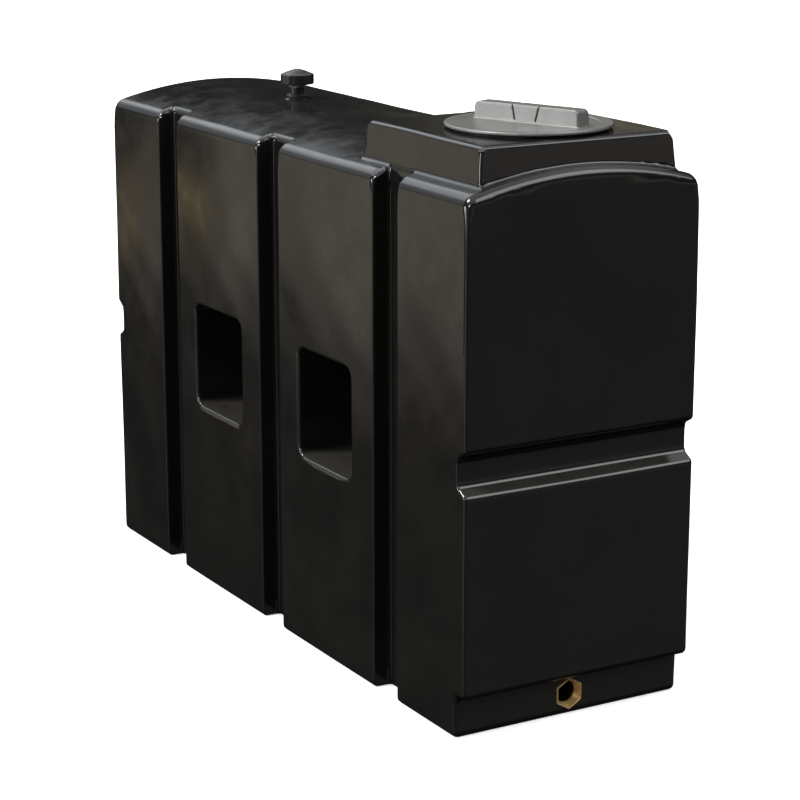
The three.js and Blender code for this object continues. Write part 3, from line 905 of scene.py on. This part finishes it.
class Nodes:
    """A node tree that is built by naming nodes and what feeds them."""

    def __init__(self, owner):
        owner.use_nodes = True
        self.tree = owner.node_tree
        self.tree.nodes.clear()

    def new(self, kind, feeds=None, **settings):
        node = self.tree.nodes.new(kind)
        for name, value in settings.items():
            setattr(node, name, value)
        for name, value in (feeds or {}).items():
            if isinstance(value, bpy.types.NodeSocket):
                self.tree.links.new(value, node.inputs[name])
            else:
                node.inputs[name].default_value = value
        return node

    def noise(self, place, scale, detail=3, roughness=0.5, distortion=0.0):
        node = self.new("ShaderNodeTexNoise", {"Vector": place, "Scale": scale, "Detail": detail,
                                               "Roughness": roughness, "Distortion": distortion})
        return node.outputs["Fac"]

    def spread(self, value, low, high, to_low=0.0, to_high=1.0):
        node = self.new("ShaderNodeMapRange", {"Value": value, "From Min": low, "From Max": high,
                                               "To Min": to_low, "To Max": to_high},
                        interpolation_type="SMOOTHSTEP")
        return node.outputs["Result"]

    def parts(self, vector):
        return self.new("ShaderNodeSeparateXYZ", {"Vector": vector}).outputs

    def maths(self, operation, first, second=0.0):
        node = self.new("ShaderNodeMath", {0: first, 1: second}, operation=operation)
        return node.outputs[0]

    def colour(self, factor, low, high):
        node = self.new("ShaderNodeMix", {"Factor": factor}, data_type="RGBA")
        for socket, value in ((node.inputs[6], low), (node.inputs[7], high)):
            if isinstance(value, bpy.types.NodeSocket):
                self.tree.links.new(value, socket)
            else:
                socket.default_value = (*value, 1)
        return node.outputs[2]

    def stretched(self, place, scale):
        node = self.new("ShaderNodeMapping", {"Vector": place, "Scale": scale})
        return node.outputs["Vector"]

    def bump(self, height, distance, strength=1.0, below=None):
        feeds = {"Height": height, "Distance": distance, "Strength": strength}
        if below:
            feeds["Normal"] = below
        return self.new("ShaderNodeBump", feeds).outputs["Normal"]

    def finish(self, **feeds):
        names = {"colour": "Base Color", "roughness": "Roughness", "metallic": "Metallic",
                 "normal": "Normal", "level": "Specular IOR Level", "coat": "Coat Weight",
                 "coat_roughness": "Coat Roughness", "glow": "Emission Color",
                 "glow_strength": "Emission Strength"}
        shader = self.new("ShaderNodeBsdfPrincipled", {names[k]: v for k, v in feeds.items()})
        self.new("ShaderNodeOutputMaterial", {"Surface": shader.outputs["BSDF"]})


def new_material(name):
    material = bpy.data.materials.new(name)
    nodes = Nodes(material)
    place = nodes.new("ShaderNodeTexCoord").outputs["Object"]
    return material, nodes, place


def facing_up(nodes):
    normal = nodes.new("ShaderNodeNewGeometry").outputs["Normal"]
    return nodes.parts(normal)["Z"]


def scuffs(nodes, place, scale, stretch):
    """Thin broken streaks, 0 to 1."""
    lines = nodes.noise(nodes.stretched(place, stretch), scale, 2, 0.6, 0.4)
    ridge = nodes.maths("ABSOLUTE", nodes.maths("SUBTRACT", lines, 0.5))
    thin = nodes.spread(ridge, 0.0, 0.012, 1.0, 0.0)
    broken = nodes.spread(nodes.noise(place, scale * 0.35, 2), 0.52, 0.66)
    return nodes.maths("MULTIPLY", thin, broken)


def make_polyethylene():
    """Rotationally moulded black polyethylene: waxy, faintly mottled, dusty and painted lighter on top as a
    sheen, lightly scuffed.
    """
    material, nodes, place = new_material("moulded_black_polyethylene")
    mottle = nodes.noise(place, 5.0, 5, 0.55)
    haze = nodes.noise(place, 19.0, 6, 0.62)
    grain = nodes.noise(place, 420.0, 2, 0.5)
    peel = nodes.noise(place, 95.0, 3, 0.5)
    scratch = nodes.maths("MAXIMUM", scuffs(nodes, place, 6.0, (1, 1, 9)),
                          scuffs(nodes, place, 9.0, (7, 7, 1)))
    up = facing_up(nodes)
    # Up-facing faces are lightened: partly settled dust, partly a painted sheen on the tops.
    top_dust_and_sheen = nodes.maths("MULTIPLY", nodes.spread(up, 0.55, 0.98), nodes.spread(haze, 0.36, 0.72))
    base = nodes.colour(nodes.spread(mottle, 0.3, 0.7), (0.0062, 0.0060, 0.0058), (0.0086, 0.0082, 0.0077))
    height = nodes.parts(place)["Z"]
    sheltered = nodes.spread(height, SHOULDER - 130 * MM, SHOULDER - 80 * MM, 0.42, 0.0)
    ledge_dust = nodes.maths("MULTIPLY", nodes.spread(up, 0.55, 0.98), nodes.spread(haze, 0.1, 0.5))
    # The colour takes the real dust on low ledges and the painted sheen on the tops.
    dust_and_top_sheen = nodes.maths("MAXIMUM", nodes.maths("MULTIPLY", top_dust_and_sheen, 0.02),
                       nodes.maths("MULTIPLY", ledge_dust, sheltered))
    dusted_and_sheened = nodes.colour(dust_and_top_sheen, base, (0.060, 0.056, 0.047))
    worn = nodes.colour(nodes.maths("MULTIPLY", scratch, 0.035), dusted_and_sheened, (0.075, 0.073, 0.068))
    rough = nodes.spread(mottle, 0.28, 0.72, 0.11, 0.17)
    rough = nodes.maths("ADD", rough, nodes.spread(haze, 0.3, 0.7, -0.02, 0.03))
    rough = nodes.maths("ADD", rough, nodes.maths("MULTIPLY", top_dust_and_sheen, 0.05))
    rough = nodes.maths("ADD", rough, nodes.maths("MULTIPLY", scratch, 0.04))
    normal = nodes.bump(peel, 0.00009, 0.5)
    normal = nodes.bump(grain, 0.000012, 0.5, normal)
    nodes.finish(colour=worn, roughness=rough, normal=normal)
    return material


def make_lid_plastic():
    """Weathered grey moulded plastic with grime in patches and fine turning marks."""
    material, nodes, place = new_material("weathered_grey_plastic")
    patch = nodes.noise(place, 14.0, 5, 0.6)
    speck = nodes.noise(place, 130.0, 4, 0.6)
    grain = nodes.noise(place, 900.0, 2, 0.5)
    scratch = nodes.maths("MAXIMUM", scuffs(nodes, place, 28.0, (1, 8, 1)),
                          scuffs(nodes, place, 22.0, (6, 1, 6)))
    clean = nodes.colour(nodes.spread(speck, 0.35, 0.7), (0.100, 0.104, 0.100), (0.130, 0.133, 0.128))
    up = nodes.spread(facing_up(nodes), 0.6, 0.98)
    grimy = nodes.maths("MULTIPLY", nodes.spread(patch, 0.42, 0.66), up)
    stained = nodes.colour(nodes.maths("MULTIPLY", grimy, 0.7), clean, (0.085, 0.070, 0.055))
    worn = nodes.colour(nodes.maths("MULTIPLY", scratch, 0.4), stained, (0.30, 0.30, 0.29))
    rough = nodes.spread(patch, 0.3, 0.7, 0.28, 0.42)
    rough = nodes.maths("ADD", rough, nodes.spread(speck, 0.3, 0.7, -0.03, 0.05))
    normal = nodes.bump(speck, 0.00005, 0.5)
    normal = nodes.bump(grain, 0.00001, 0.5, normal)
    nodes.finish(colour=worn, roughness=rough, normal=normal, coat=0.8, coat_roughness=0.3)
    return material


def make_black_plastic():
    """Hard black injection-moulded plastic, with a little grey bloom on top that also paints the tops
    lighter as a sheen.
    """
    material, nodes, place = new_material("moulded_black_plastic")
    patch = nodes.noise(place, 45.0, 5, 0.6)
    grain = nodes.noise(place, 1500.0, 2, 0.5)
    up = nodes.spread(facing_up(nodes), 0.2, 0.95)
    # Painted sheen: up-facing faces are mixed towards grey, partly real bloom and partly standing in for the
    # light on the tops.
    bloom = nodes.maths("MULTIPLY", nodes.spread(patch, 0.35, 0.68), up)
    base = nodes.colour(nodes.maths("MULTIPLY", bloom, 0.6), (0.008, 0.008, 0.0085), (0.080, 0.082, 0.085))
    rough = nodes.spread(patch, 0.3, 0.7, 0.30, 0.48)
    normal = nodes.bump(grain, 0.000008, 0.5)
    nodes.finish(colour=base, roughness=rough, normal=normal, level=0.3)
    return material


def make_rubber():
    material, nodes, place = new_material("black_rubber")
    bloom = nodes.noise(place, 60.0, 4, 0.6)
    grain = nodes.noise(place, 1100.0, 3, 0.6)
    base = nodes.colour(nodes.spread(bloom, 0.4, 0.7), (0.012, 0.012, 0.012), (0.030, 0.029, 0.028))
    rough = nodes.spread(bloom, 0.3, 0.7, 0.68, 0.88)
    normal = nodes.bump(grain, 0.00008, 0.6)
    nodes.finish(colour=base, roughness=rough, normal=normal)
    return material


def make_brass():
    """Turned brass, dulled in patches, with fine rings from the lathe, and painted near black deeper than
    the mouth as shade in the bore.
    """
    material, nodes, place = new_material("turned_brass")
    tarnish = nodes.noise(place, 70.0, 5, 0.65)
    fine = nodes.noise(nodes.stretched(place, (9, 1, 1)), 500.0, 3, 0.6)
    centred = nodes.new("ShaderNodeMapping", {"Vector": place, "Location": (0, 0, -OUTLET.z)})
    rings = nodes.new("ShaderNodeTexWave", {"Vector": centred.outputs["Vector"], "Scale": 260.0,
                                            "Distortion": 0.6, "Detail": 2.0},
                      wave_type="RINGS", rings_direction="X").outputs["Fac"]
    base = nodes.colour(nodes.spread(tarnish, 0.36, 0.72), (0.92, 0.68, 0.32), (0.66, 0.46, 0.20))
    # Painted shade: everything deeper than the mouth, the threaded bore included, is coloured near black.
    along = nodes.parts(place)["X"]
    mouth = insert_high.x - OUTLET_MOUTH_DEPTH
    base = nodes.colour(nodes.spread(along, mouth - 1 * MM, mouth + 3 * MM), (0.010, 0.008, 0.005), base)
    rough = nodes.spread(tarnish, 0.3, 0.7, 0.46, 0.62)
    rough = nodes.maths("ADD", rough, nodes.spread(fine, 0.3, 0.7, -0.04, 0.05))
    normal = nodes.bump(rings, 0.00003, 0.35)
    normal = nodes.bump(fine, 0.00003, 0.4, normal)
    nodes.finish(colour=base, roughness=rough, metallic=1.0, normal=normal)
    return material


def make_steel():
    material, nodes, place = new_material("stainless_wire")
    dull = nodes.noise(place, 240.0, 4, 0.6)
    base = nodes.colour(nodes.spread(dull, 0.35, 0.7), (0.56, 0.56, 0.55), (0.34, 0.33, 0.31))
    rough = nodes.spread(dull, 0.3, 0.7, 0.26, 0.46)
    normal = nodes.bump(nodes.noise(place, 4000.0, 2), 0.00001, 0.4)
    nodes.finish(colour=base, roughness=rough, metallic=1.0, normal=normal)
    return material


# ---- stage


def make_floor():
    """A pale floor that reaches past the edge of the view."""
    reach, cells = 80.0, 16
    places = np.linspace(-reach, reach, cells + 1)
    points = [(x, y, 0) for x in places for y in places]
    row = cells + 1
    faces = [(i * row + j, (i + 1) * row + j, (i + 1) * row + j + 1, i * row + j + 1)
             for i in range(cells) for j in range(cells)]
    floor = new_object("studio_floor", points, faces)
    material, nodes, place = new_material("pale_floor")
    cloud = nodes.noise(place, 0.8, 3)
    base = nodes.colour(cloud, (0.86, 0.86, 0.86), (0.90, 0.90, 0.90))
    nodes.finish(colour=base, roughness=nodes.spread(cloud, 0.3, 0.7, 0.85, 0.95), level=0.1,
                 glow=(1, 1, 1, 1), glow_strength=0.45)
    floor.data.materials.append(material)
    floor.visible_glossy = False
    floor.visible_diffuse = False


def towards(azimuth, elevation):
    """A unit vector that points from the scene towards that azimuth and elevation, in degrees."""
    around, up = math.radians(azimuth), math.radians(elevation)
    return Vector((math.cos(up) * math.sin(around), -math.cos(up) * math.cos(around), math.sin(up)))


def make_sky():
    """A studio surround: a pale dome over a dark band, two softboxes in it, and dim cards low down."""
    world = bpy.data.worlds.new("studio_surround")
    bpy.context.scene.world = world
    nodes = Nodes(world)
    direction = nodes.new("ShaderNodeTexCoord").outputs["Generated"]
    parts = nodes.parts(direction)
    height = parts["Z"]
    turn = nodes.maths("ARCTAN2", parts["X"], nodes.maths("MULTIPLY", parts["Y"], -1.0))
    azimuth = nodes.maths("MULTIPLY", turn, 180 / math.pi)
    uneven = nodes.maths("SUBTRACT", nodes.noise(direction, 6.0, 3), 0.5)

    def wavy(value, amount):
        """The value with an uneven edge, so that no band ends in a straight line."""
        return nodes.maths("ADD", value, nodes.maths("MULTIPLY", uneven, amount))

    def window(centre, inner, outer):
        """1 within inner degrees of an azimuth, falling to 0 at outer degrees from it."""
        away = nodes.maths("ABSOLUTE", nodes.maths("SUBTRACT", azimuth, centre))
        return nodes.spread(away, inner, outer, 1.0, 0.0)

    def card(colour, across, *rises):
        """A glow of that colour, across a window and where each value has risen past its limits."""
        shine = across
        for value, low, high in rises:
            shine = nodes.maths("MULTIPLY", shine, nodes.spread(value, low, high))
        return nodes.colour(shine, (0, 0, 0), colour)

    def falls(value, low, high):
        """A rise that is full below low and gone above high."""
        return (nodes.maths("MULTIPLY", value, -1.0), -high, -low)

    skyline = wavy(height, 0.16)
    slanted = wavy(nodes.maths("ADD", height, nodes.maths("MULTIPLY", azimuth, FLANK_SLANT)), 0.05)
    layers = [
        nodes.colour(nodes.spread(skyline, *DOME_RISE), LOW_SKY, HIGH_SKY),
        card(SIDE_BOX, window(-85, 24, 32), (skyline, 0.34, 0.48), falls(height, 0.80, 0.92)),
        card(END_BOX, window(130, 24, 40), (height, 0.44, 0.56), falls(height, 0.78, 0.88)),
        card(FLANK_GLOW, window(-57.5, 4.0, 8.5), (slanted, *FLANK_RISE), falls(height, 0.0, 0.2)),
        card(STREAK_GLOW, window(-67.8, 0.8, 3.0), (slanted, *FLANK_RISE), falls(height, -0.19, -0.15)),
        card(FRONT_GLOW, window(-8, 10, 26), (height, -0.19, -0.11), falls(height, 0.1, 0.3)),
        card(FOOT_GLOW, window(-8, 12, 30), (height, -0.42, -0.30), falls(height, -0.19, -0.11)),
        card(BACK_GLOW, window(120, 30, 60), (wavy(height, 0.08), -0.11, -0.03), falls(height, 0.05, 0.2)),
        card(END_GLOW, window(120, 40, 75), (height, -0.5, -0.4), falls(height, 0.05, 0.2)),
        card(BAND_GLOW, window(-78, 22, 32), (wavy(height, 0.05), 0.10, 0.20), falls(height, 0.45, 0.60)),
        card(TREE_GLOW, window(-128, 3, 9), (wavy(height, 0.1), 0.04, 0.10), falls(height, 0.16, 0.24))]
    total = layers[0]
    for layer in layers[1:]:
        both = nodes.new("ShaderNodeMix", {"Factor": 1.0}, data_type="RGBA", blend_type="ADD")
        nodes.tree.links.new(total, both.inputs[6])
        nodes.tree.links.new(layer, both.inputs[7])
        total = both.outputs[2]
    background = nodes.new("ShaderNodeBackground", {"Color": total, "Strength": 1.0})
    nodes.new("ShaderNodeOutputWorld", {"Surface": background.outputs["Background"]})


def add_sun(name, azimuth, elevation, **settings):
    sun = bpy.data.lights.new(name, "SUN")
    for setting, value in settings.items():
        setattr(sun, setting, value)
    lamp = bpy.data.objects.new(name, sun)
    away = towards(azimuth, elevation)
    lamp.location = Vector((0, 0, SHOULDER / 2)) + away * SUN_DISTANCE
    lamp.rotation_euler = away.to_track_quat("Z", "Y").to_euler()
    bpy.context.scene.collection.objects.link(lamp)


def make_lights():
    """A key high in front, and two weak fills for the lid's grip and the brass."""
    add_sun("key_sun", -16, 52, energy=3.4, angle=math.radians(12), color=(1.0, 0.985, 0.95),
            specular_factor=0.4)
    add_sun("side_fill", 32, 24, energy=0.8, angle=math.radians(14), specular_factor=0.6)
    add_sun("front_fill", -20, 6, energy=1.0, angle=math.radians(20), specular_factor=0.0)


def make_camera():
    middle = (cad_bounds[0] + cad_bounds[1]) / 2
    aim = Vector((middle.x, middle.y, 0)) + VIEW_AIM
    away = towards(VIEW_AZIMUTH, VIEW_ELEVATION)
    lens = bpy.data.cameras.new("studio_camera")
    lens.lens = LENS
    lens.sensor_width = SENSOR
    camera = bpy.data.objects.new("studio_camera", lens)
    camera.location = aim + away * VIEW_DISTANCE
    camera.rotation_euler = away.to_track_quat("Z", "Y").to_euler()
    bpy.context.scene.collection.objects.link(camera)
    bpy.context.scene.camera = camera


# ---- assembly


def dress(piece, material, slot, body, *nodes, angle=35):
    """Gives the piece its material and shading, ties it to its body, and hides the frame's parts for the
    nodes it stands for.
    """
    piece.data.materials.clear()
    piece.data.materials.append(material)
    if angle:
        smooth(piece, angle)
    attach(piece, body)
    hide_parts(*nodes)


def build():
    polyethylene = make_polyethylene()
    grey = make_lid_plastic()
    black = make_black_plastic()
    rubber = make_rubber()
    dress(make_shell(), polyethylene, "black_polyethylene", "tank", "tank_shell", angle=None)
    dress(make_insert(), make_brass(), "brass", "tank", "outlet_insert")
    dress(make_neck_ring(), black, "black_plastic", "tank", "neck_ring")
    dress(make_seal(), rubber, "rubber", "lid_gasket", "lid_seal")
    dress(make_lid(), grey, "grey_plastic", "lid", "lid", angle=40)
    dress(make_vent_body(), black, "black_plastic", "tank", "vent_body")
    for side, node in (("outside", "vent_outer_washer"), ("inside", "vent_inner_washer")):
        dress(make_washer("vent_washer_" + side, node), rubber, "rubber", "tank", node)
    dress(make_back_nut(), black, "black_plastic", "tank", "vent_back_nut")
    dress(make_screen(), make_steel(), "steel_mesh", "insect_screen", "vent_screen")
    dress(make_cap(), black, "black_plastic", "vent_cap", "vent_cap")


build()
make_floor()
make_sky()
make_lights()
make_camera()
bpy.context.scene.view_settings.view_transform = "Standard"
